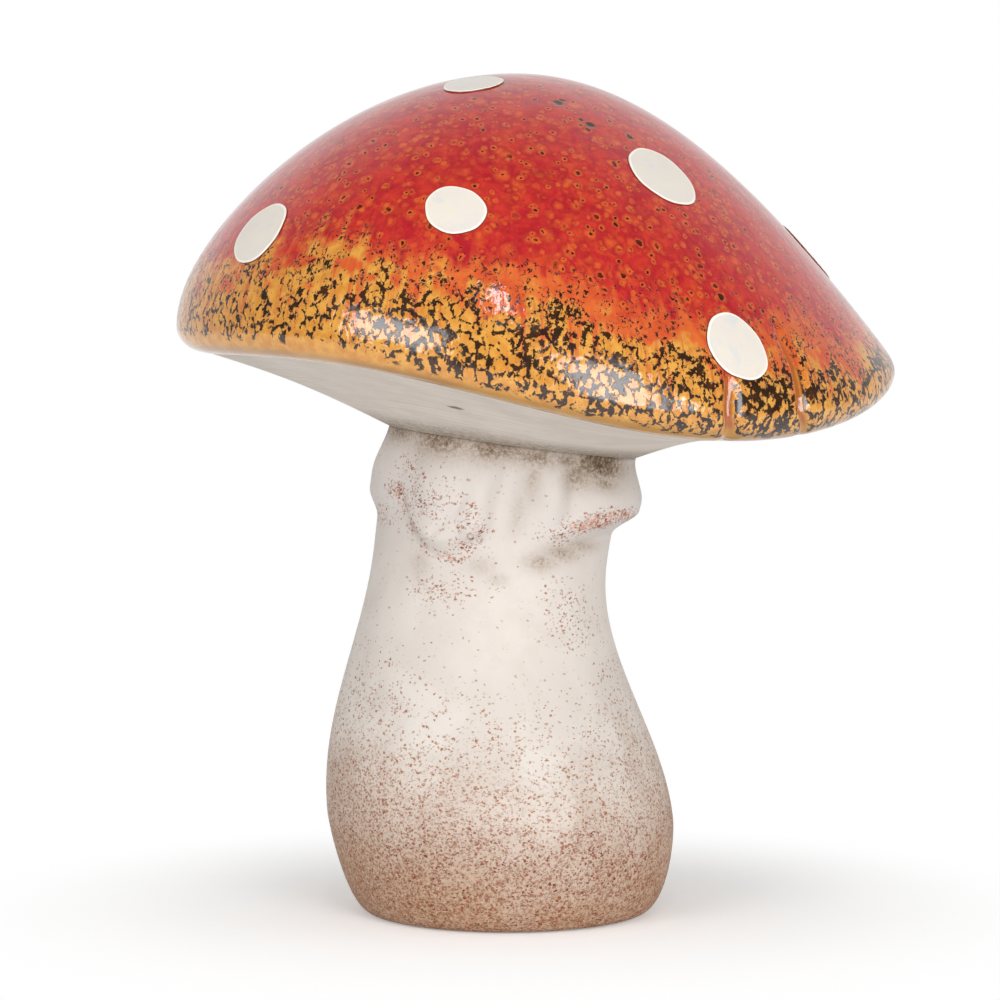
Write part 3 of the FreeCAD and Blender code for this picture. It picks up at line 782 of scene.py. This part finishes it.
def cap_glaze():
    """Red glaze over orange and ochre, pitted at the top, flecked with black towards the rim."""
    web = Web("cap_glaze")
    place = web.millimetres
    down = web.down()
    fold = web.mark("fold")
    streak_place = web.scaled(web.mark("lie", "Vector"), (30.0, 30.0, 2.2))
    streak = web.noise(streak_place, 1.0, 3, 0.6, 0.4)
    drift = web.noise(place, 0.055, 3, 0.58)
    level = web.calc("ADD", down, web.band(drift, 0.32, 0.68, -0.045, 0.045))
    level = web.calc("ADD", level, web.band(streak, 0.3, 0.7, -0.030, 0.030))
    across = web.add("ShaderNodeSeparateXYZ", {0: place}).outputs[0]
    level = web.calc("ADD", level, web.band(across, -30.0, -55.0, 0.0, -0.040))

    flat = web.scaled(place, (1.0, 1.0, FLATTENED))
    red, pits = pinholed_red(web, flat)

    # streaks of orange running down through the red
    run = web.product(web.band(streak, 0.50, 0.70), web.band(down, 0.58, 0.76))
    red = web.mix(web.calc("MULTIPLY", run, 0.45), red, ORANGE_STREAK)

    # orange belt and ochre towards the rim
    reach = web.calc("ADD", level, web.band(across, -48.0, 20.0, 0.0, -0.060))
    warm = web.mix(web.band(web.noise(place, 0.2, 3, 0.6), 0.35, 0.65), BELT_DEEP, BELT_LIGHT)
    fine = web.noise(place, 0.34, 3, 0.62)
    ochre = web.mix(web.band(fine, 0.35, 0.66), OCHRE_DEEP, OCHRE_LIGHT)
    colour = web.mix(web.band(level, 0.69, 0.75), red, warm)
    mottle = web.band(web.noise(place, 0.11, 4, 0.65), 0.35, 0.65, -0.05, 0.05)
    colour = web.mix(web.band(web.calc("ADD", reach, mottle), 0.725, 0.82), colour, ochre)

    # thin runs of red that reach down over the ochre
    runs = web.noise(web.scaled(web.mark("lie", "Vector"), (46.0, 46.0, 1.6)), 1.0, 3, 0.6, 0.5)
    fades = web.product(web.band(down, 0.74, 0.82), web.band(down, 1.06, 0.86))
    colour = web.mix(web.product(web.band(runs, 0.52, 0.62), fades, 0.65), colour, RED_RUN)

    # black flecks, kept off the folds
    fleck, amount, gap = rim_flecks(web, flat, down, level, reach, across)
    fleck = web.product(fleck, web.band(fold, 0.45, 0.2))
    dark = web.mix(web.band(fine, 0.42, 0.72), FLECK_BLACK, FLECK_BROWN)
    colour = web.mix(web.calc("MULTIPLY", fleck, 0.97), colour, dark)

    # folds, the plain band under the roll, the bare strip and the seam
    colour = web.mix(web.product(web.band(fold, 0.20, 0.7), 0.85), colour, FOLD_BROWN)
    plain = web.mix(web.band(drift, 0.4, 0.6), EDGE_DEEP, EDGE_LIGHT)
    unflecked = web.product(web.band(down, 1.3, 1.6), web.band(fleck, 0.5, 0.2))
    colour = web.mix(unflecked, colour, plain)
    colour = web.mix(web.band(down, 1.90, 1.93), colour, BARE_STRIP)
    colour = web.mix(web.band(down, 2.0, 2.05), colour, SEAM)

    swell = web.noise(place, 0.085, 2, 0.5)
    pebbles = web.band(gap, 0.0, 1.3)
    normal = web.relief((
        (swell, 0.30),
        (web.noise(place, 0.32, 2, 0.5), 0.05),
        (pits, -0.12),
        (fleck, -0.06),
        (web.product(pebbles, amount), 0.05),
    ))
    roughness = web.most(web.band(fleck, 0.0, 1.0, 0.06, 0.16), web.product(pits, 0.30))
    roughness = web.most(roughness, web.band(down, 1.86, 1.93, 0.0, 0.55))
    return web.finish(colour, roughness, normal, IOR=1.70, Specular_Tint=(0.86, 0.93, 1.0, 1.0))


def cream_enamel():
    """Thick cream enamel, faintly mottled, with a painted highlight on its raised edge and a painted
    shadow line round its foot.
    """
    web = Web("cream_enamel")
    place = web.millimetres
    along = web.down()
    cloud = web.noise(place, 0.12, 3, 0.6, 0.6)
    colour = web.mix(web.band(cloud, 0.35, 0.65), CREAM_COOL, CREAM_WARM)
    tint = web.noise(web.shifted(place, (5.0, 60.0, 8.0)), 0.16, 3, 0.6)
    colour = web.mix(web.band(tint, 0.52, 0.72, 0.0, 0.8), colour, CREAM_GREYED)
    yellowed = web.band(web.noise(place, 0.5, 3, 0.6), 0.56, 0.74, 0.0, 0.6)
    colour = web.mix(yellowed, colour, CREAM_YELLOWED)
    # painted highlight: the raised bead round the spot's edge is made paler
    colour = web.mix(web.band(along, 0.90, 0.95), colour, BEAD_HIGHLIGHT)
    # painted shadow: a thin dark line round the foot of the spot
    colour = web.mix(web.band(along, 0.982, 0.992), colour, ENAMEL_FOOT_SHADOW)
    normal = web.relief(((cloud, 0.10), (web.noise(place, 0.9, 2, 0.5), 0.012)))
    return web.finish(colour, 0.16, normal, IOR=1.5)


def underside_bisque():
    """Unglazed plate with fine brush lines round it, darker towards the neck."""
    web = Web("underside_bisque")
    place = web.millimetres
    out = web.down()
    rings = web.noise(web.scaled(web.mark("lie", "Vector"), (1.6, 1.6, 95.0)), 1.0, 4, 0.65)
    cloud = web.noise(place, 0.06, 3, 0.6)
    colour = web.mix(web.band(cloud, 0.35, 0.65), PLATE_DEEP, PLATE_LIGHT)
    colour = web.mix(web.product(web.band(rings, 0.50, 0.66), 0.55), colour, BRUSH_LINE)
    # darker towards the neck, in a patchy grain
    patchy_noise = web.noise(place, 0.7, 4, 0.75)
    near_neck = web.product(web.band(out, 0.26, 0.0), web.band(patchy_noise, 0.34, 0.62, 0.45, 1.0))
    colour = web.mix(web.calc("MULTIPLY", near_neck, 0.8), colour, NECK_DARKENING)
    # dark scuffs along the brush lines, one at the front and others round the plate
    for turn, share in ((-107, 0.50), (-15, 0.62), (58, 0.35), (140, 0.66)):
        centre = cone_place(share, 0, SEAM_GAP)(radians(turn))
        inputs = {0: web.shifted(place, tuple(-centre)), 3: radians(-turn)}
        turned = web.add("ShaderNodeVectorRotate", inputs).outputs[0]
        narrow = web.scaled(turned, (0.45, 0.27, 0.5))
        reach = web.apart(web.jittered(narrow, 1.6, 0.9), (0, 0, 0))
        colour = web.mix(web.band(reach, 0.80, 0.40, 0.0, 0.85), colour, SCUFF)
    normal = web.relief(((rings, 0.10), (web.noise(place, 1.1, 3, 0.6), 0.03)))
    return web.finish(colour, 0.72, normal)


def stem_bisque():
    """Off-white matt stem sprayed with beige towards the foot and specked with rust red, with
    painted shade on the collar and in its hollows.
    """
    web = Web("stem_bisque")
    place = web.millimetres
    up = web.down()
    rust = web.mark("rust")
    smudge = web.mark("smudge")
    cloud = web.noise(place, 0.045, 4, 0.6, 0.5)
    colour = web.mix(web.band(cloud, 0.35, 0.65), STEM_DEEP, STEM_LIGHT)
    # painted shade: the collar turns greyer and darker under the cap
    colour = web.mix(web.band(up, 0.66, 0.84, 0.0, 0.55), colour, COLLAR_SHADE_GREY)
    # beige spray that thickens towards the foot, in small grains
    drift = web.band(cloud, 0.3, 0.7, -0.045, 0.045)
    inputs = {0: web.mark("lie", "Vector"), 1: (cos(radians(-80)), sin(radians(-80)), 0.0)}
    facing = web.add("ShaderNodeVectorMath", inputs, operation="DOT_PRODUCT").outputs["Value"]
    drift = web.calc("ADD", drift, web.band(facing, 0.55, 0.99, 0.0, 0.09))
    low = web.band(web.calc("ADD", up, drift), 0.50, 0.04)
    grain = web.noise(web.jittered(place, 0.8, 0.8), 1.0, 4, 0.72)
    colour = web.mix(web.calc("MULTIPLY", low, 0.86), colour, BEIGE)
    grains = web.product(web.band(grain, 0.50, 0.66), web.calc("POWER", low, 0.7))
    colour = web.mix(web.calc("MULTIPLY", grains, 0.90), colour, GRAIN_BROWN)
    pale = web.product(web.band(grain, 0.47, 0.36), low)
    colour = web.mix(web.calc("MULTIPLY", pale, 0.70), colour, GRAIN_PALE)
    # rust specks, in fine and coarse sizes, thick on the collar's hems and the lower body
    lower_body = web.band(web.calc("ADD", up, drift), 0.66, 0.12, 0.03, 0.95)
    uneven = web.band(web.noise(place, 0.12, 3, 0.6), 0.30, 0.60, 0.55, 1.30)
    density = web.product(web.most(web.calc("MULTIPLY", rust, 1.3), lower_body), uneven)
    dashed = web.jittered(web.scaled(place, (1.0, 1.0, 1.25)), 1.0, 1.7)
    specks = 0.0
    for scale, radius, offset in ((0.50, 0.42, 0.0), (0.82, 0.38, 17.0), (1.25, 0.30, 41.0)):
        far, chance = web.cells(web.shifted(dashed, (offset, 0.0, offset)), scale)
        size = web.band(chance[1], 0.0, 1.0, 0.45 * radius, 1.25 * radius)
        speck = web.product(
            web.band(web.calc("SUBTRACT", far, size), 0.14, -0.10),
            web.band(web.calc("SUBTRACT", density, chance[0]), -0.02, 0.04),
        )
        shown = web.calc("MULTIPLY", speck, web.band(chance[2], 0.0, 1.0, 0.55, 1.0))
        specks = web.calc("MAXIMUM", specks, shown)
    glow = web.band(web.noise(place, 0.8, 3, 0.65), 0.42, 0.62)
    glow = web.product(glow, web.band(rust, 0.4, 1.2))
    colour = web.mix(web.calc("MULTIPLY", glow, 0.75), colour, RUST_GLOW)
    brown = web.mix(web.band(grain, 0.4, 0.6), RUST_DARK, RUST_RED)
    brown = web.mix(web.band(web.most(low, rust), 0.15, 0.6), RUST_PALE, brown)
    colour = web.mix(specks, colour, brown)
    # grey-brown smudges, and painted shade in the hollows under the hems and round the neck under
    # the cap
    patchy_noise = web.noise(place, 0.95, 4, 0.75, 0.6)
    shade = web.product(smudge, web.band(patchy_noise, 0.30, 0.68, 0.50, 1.20))
    colour = web.mix(web.calc("MULTIPLY", shade, 1.0, clamp=True), colour, SMUDGE_SHADE_BROWN)
    colour = web.mix(web.band(shade, 0.35, 1.5), colour, SMUDGE_SHADE_DARK)
    strokes = web.noise(web.scaled(place, (1.0, 1.0, 0.45)), 0.9, 3, 0.6)
    normal = web.relief(((grain, 0.07), (strokes, 0.05), (cloud, 0.25)))
    return web.finish(colour, 0.62, normal)


# Binding to the frame

glaze, enamel = cap_glaze(), cream_enamel()
plate_clay, stem_clay = underside_bisque(), stem_bisque()
PIECES = [
    (cap, "cap_dome", "cap_glaze", glaze),
    (underside, "cap_underside", "underside_bisque", plate_clay),
    (stem, "stem", "stem_bisque", stem_clay),
]
PIECES += [(spot, f"cream_spot_{n}", "cream_enamel", enamel) for n, spot in enumerate(spots, 1)]
for piece, node, slot, material in PIECES:
    piece.data.materials.append(material)
    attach(piece, "root")
    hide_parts(node)

# Floor, light and camera


FLOOR_HALF, FLOOR_HEIGHT = 6.0, -0.0002
# The floor keeps its shadow near the object and turns to plain white over these distances, in mm.
SHADOW_KEPT, SHADOW_GONE = 60.0, 170.0
PAPER, PAPER_LIFT = (0.95, 0.95, 0.95, 1), 0.25
ROOM_LIGHT, BACKDROP_LIGHT = 0.33, 1.0


def floor_paper():
    """White paper that shades to plain white away from the object."""
    web = Web("floor_paper")
    away = web.add("ShaderNodeVectorMath", {0: web.millimetres}, operation="LENGTH").outputs["Value"]
    seen = web.add("ShaderNodeLightPath").outputs
    backdrop_rays = web.calc("ADD", seen["Is Camera Ray"], seen["Is Glossy Ray"], clamp=True)
    fade = web.product(backdrop_rays, web.band(away, SHADOW_KEPT, SHADOW_GONE))
    paper = web.add("ShaderNodeBsdfDiffuse", {"Color": PAPER}).outputs[0]
    glimmer = web.calc("MULTIPLY", seen["Is Camera Ray"], PAPER_LIFT)
    lift = web.add("ShaderNodeEmission", {"Strength": glimmer}).outputs[0]
    white = web.add("ShaderNodeEmission", {"Strength": 1.0}).outputs[0]
    near = web.add("ShaderNodeAddShader", {0: paper, 1: lift}).outputs[0]
    blend = web.add("ShaderNodeMixShader", {0: fade, 1: near, 2: white}).outputs[0]
    web.links.new(blend, web.add("ShaderNodeOutputMaterial").inputs[0])
    return web.material


bm = bmesh.new()
bmesh.ops.create_grid(bm, x_segments=1, y_segments=1, size=FLOOR_HALF)
for vert in bm.verts:
    vert.co.z = FLOOR_HEIGHT
floor_mesh = bpy.data.meshes.new("floor")
bm.to_mesh(floor_mesh)
bm.free()
floor = bpy.data.objects.new("floor", floor_mesh)
bpy.context.scene.collection.objects.link(floor)
floor.data.materials.append(floor_paper())


def studio():
    """World that is plain white to the camera, and a dim even light on the object.

    Glossy rays meet white behind and above the object and a dim room behind the camera.
    """
    world = bpy.data.worlds.new("studio")
    world.use_nodes = True
    tree = world.node_tree
    tree.nodes.clear()
    path = tree.nodes.new("ShaderNodeLightPath")
    ground = tree.nodes.new("ShaderNodeBackground")
    ground.inputs[0].default_value = (1, 1, 1, 1)
    strength = tree.nodes.new("ShaderNodeMapRange")
    strength.inputs["To Min"].default_value = ROOM_LIGHT
    strength.inputs["To Max"].default_value = BACKDROP_LIGHT
    either = tree.nodes.new("ShaderNodeMath")
    either.operation = "ADD"
    either.use_clamp = True
    tree.links.new(path.outputs["Is Camera Ray"], either.inputs[0])
    tree.links.new(path.outputs["Is Transmission Ray"], either.inputs[1])
    tree.links.new(either.outputs[0], strength.inputs["Value"])
    side = tree.nodes.new("ShaderNodeTexCoord")
    parts = tree.nodes.new("ShaderNodeSeparateXYZ")
    tree.links.new(side.outputs["Generated"], parts.inputs[0])
    room = tree.nodes.new("ShaderNodeMapRange")
    room.interpolation_type = "SMOOTHSTEP"
    for key, value in (("From Min", 0.0), ("From Max", 0.95), ("To Min", 0.1), ("To Max", 0.9)):
        room.inputs[key].default_value = value
    tree.links.new(parts.outputs["Y"], room.inputs["Value"])
    glossy = tree.nodes.new("ShaderNodeMix")
    tree.links.new(path.outputs["Is Glossy Ray"], glossy.inputs[0])
    tree.links.new(strength.outputs["Result"], glossy.inputs[2])
    tree.links.new(room.outputs["Result"], glossy.inputs[3])
    tree.links.new(glossy.outputs[0], ground.inputs[1])
    tree.links.new(ground.outputs[0], tree.nodes.new("ShaderNodeOutputWorld").inputs[0])
    return world


bpy.context.scene.world = studio()

# Lamps: direction and height in degrees, distance, width and height in metres, watts,
# and whether they show in reflections.
LAMPS = (
    ("softbox_left", -131, 13.5, 1.4, 0.76, 0.40, 6.0, True),
    ("softbox_right", -66, 6.0, 1.4, 0.62, 0.80, 10.0, True),
    ("softbox_high", -90, 44.5, 1.4, 0.09, 0.28, 0.8, True),
    ("softbox_low", -45, 3.0, 1.4, 0.12, 0.18, 0.9, True),
    ("softbox_top", -100, 78, 1.3, 1.2, 1.2, 3.0, False),
    ("softbox_side", -8, 8, 1.5, 0.8, 1.2, 2.3, False),
    ("softbox_fill", 188, 8, 1.5, 0.8, 1.2, 0.9, False),
)
LIT_POINT = Vector((0, 0, 0.175))


def softbox(name, azimuth, elevation, distance, width, height, power, reflected):
    """Rectangular lamp that faces the cap from a direction round it."""
    lamp = bpy.data.lights.new(name, "AREA")
    lamp.shape = "RECTANGLE"
    lamp.size, lamp.size_y, lamp.energy = width, height, power
    box = bpy.data.objects.new(name, lamp)
    bpy.context.scene.collection.objects.link(box)
    az, el = radians(azimuth), radians(elevation)
    toward = Vector((cos(az) * cos(el), sin(az) * cos(el), sin(el)))
    box.location = LIT_POINT + toward * distance
    box.rotation_euler = toward.to_track_quat("Z", "Y").to_euler()
    box.visible_glossy = reflected


for lamp in LAMPS:
    softbox(*lamp)

# The camera's place and the point it looks at, in metres, and its lens and sensor, in mm.
EYE, AIM = Vector((-0.0029, -1.0, 0.176)), Vector((-0.0029, 0, 0.1177))
LENS, SENSOR = 126.0, 36.0
camera = bpy.data.cameras.new("camera")
camera.lens, camera.sensor_width = LENS, SENSOR
camera.clip_start, camera.clip_end = 0.05, 50
viewer = bpy.data.objects.new("camera", camera)
bpy.context.scene.collection.objects.link(viewer)
viewer.location = EYE
viewer.rotation_euler = (AIM - EYE).to_track_quat("-Z", "Y").to_euler()
bpy.context.scene.camera = viewer
bpy.context.scene.view_settings.view_transform = "Standard"
